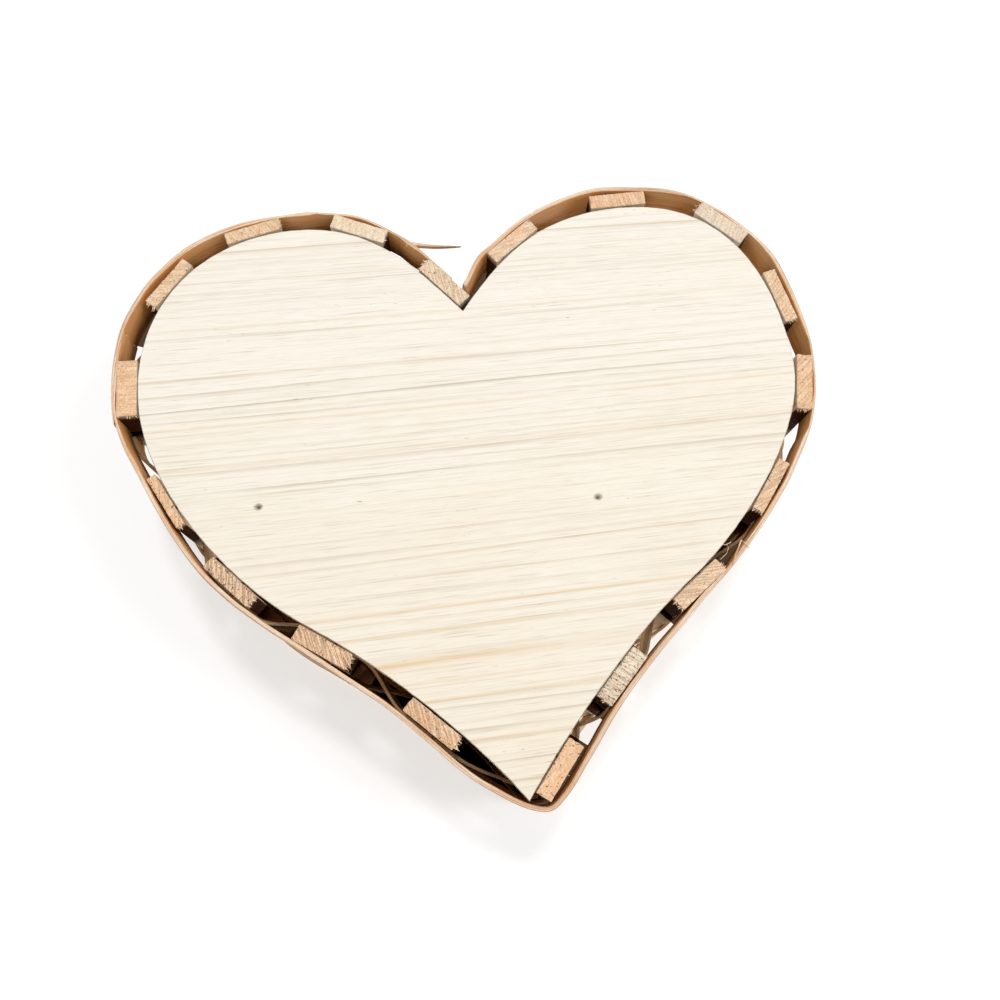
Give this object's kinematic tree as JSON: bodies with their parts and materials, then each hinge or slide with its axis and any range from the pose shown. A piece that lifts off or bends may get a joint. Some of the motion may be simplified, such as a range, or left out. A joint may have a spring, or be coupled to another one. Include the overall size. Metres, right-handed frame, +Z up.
{
  "type": "wooden heart basket",
  "caption": "Open heart-shaped basket with a wooden base board, upright wooden staves, woven splint rows and rim bands; it stands on its flat base.",
  "frame": {"origin": "centre of the basket's footprint, in the plane of the base's underside", "axes": "+Z up, out of the basket's mouth; +X across the two lobes; +Y from the heart's tip towards the lobes"},
  "size_m": [0.2456, 0.2162, 0.09],
  "materials": {
    "board": "sanded, unfinished pale poplar",
    "lath": "sawn, unfinished",
    "splint": "smooth, unfinished",
    "steel": "dull bright wire nail"
  },
  "bodies": {
    "root": {"base_board": "board", "stave_01": "lath", "stave_02": "lath", "stave_03": "lath", "stave_04": "lath", "stave_05": "lath", "stave_06": "lath", "stave_07": "lath", "stave_08": "lath", "stave_09": "lath", "stave_10": "lath", "stave_11": "lath", "stave_12": "lath", "stave_13": "lath", "stave_14": "lath", "stave_15": "lath", "stave_16": "lath", "stave_17": "lath", "stave_18": "lath", "bottom_hoop_long": "splint", "bottom_hoop_short": "splint", "woven_row_01": "splint", "woven_row_02": "splint", "woven_row_03": "splint", "rim_outer": "splint", "rim_inner": "splint", "hoop_nail_01": "steel", "hoop_nail_02": "steel", "hoop_nail_03": "steel", "hoop_nail_04": "steel", "hoop_nail_05": "steel", "hoop_nail_06": "steel", "hoop_nail_07": "steel", "hoop_nail_08": "steel", "hoop_nail_09": "steel", "hoop_nail_10": "steel", "hoop_nail_11": "steel", "hoop_nail_12": "steel", "hoop_nail_13": "steel", "hoop_nail_14": "steel", "hoop_nail_15": "steel", "hoop_nail_16": "steel", "hoop_nail_17": "steel", "hoop_nail_18": "steel", "rim_nail_01": "steel", "rim_nail_02": "steel", "rim_nail_03": "steel", "rim_nail_04": "steel", "rim_nail_05": "steel", "rim_nail_06": "steel", "rim_nail_07": "steel", "rim_nail_08": "steel", "rim_nail_09": "steel"}
  },
  "joints": []
}
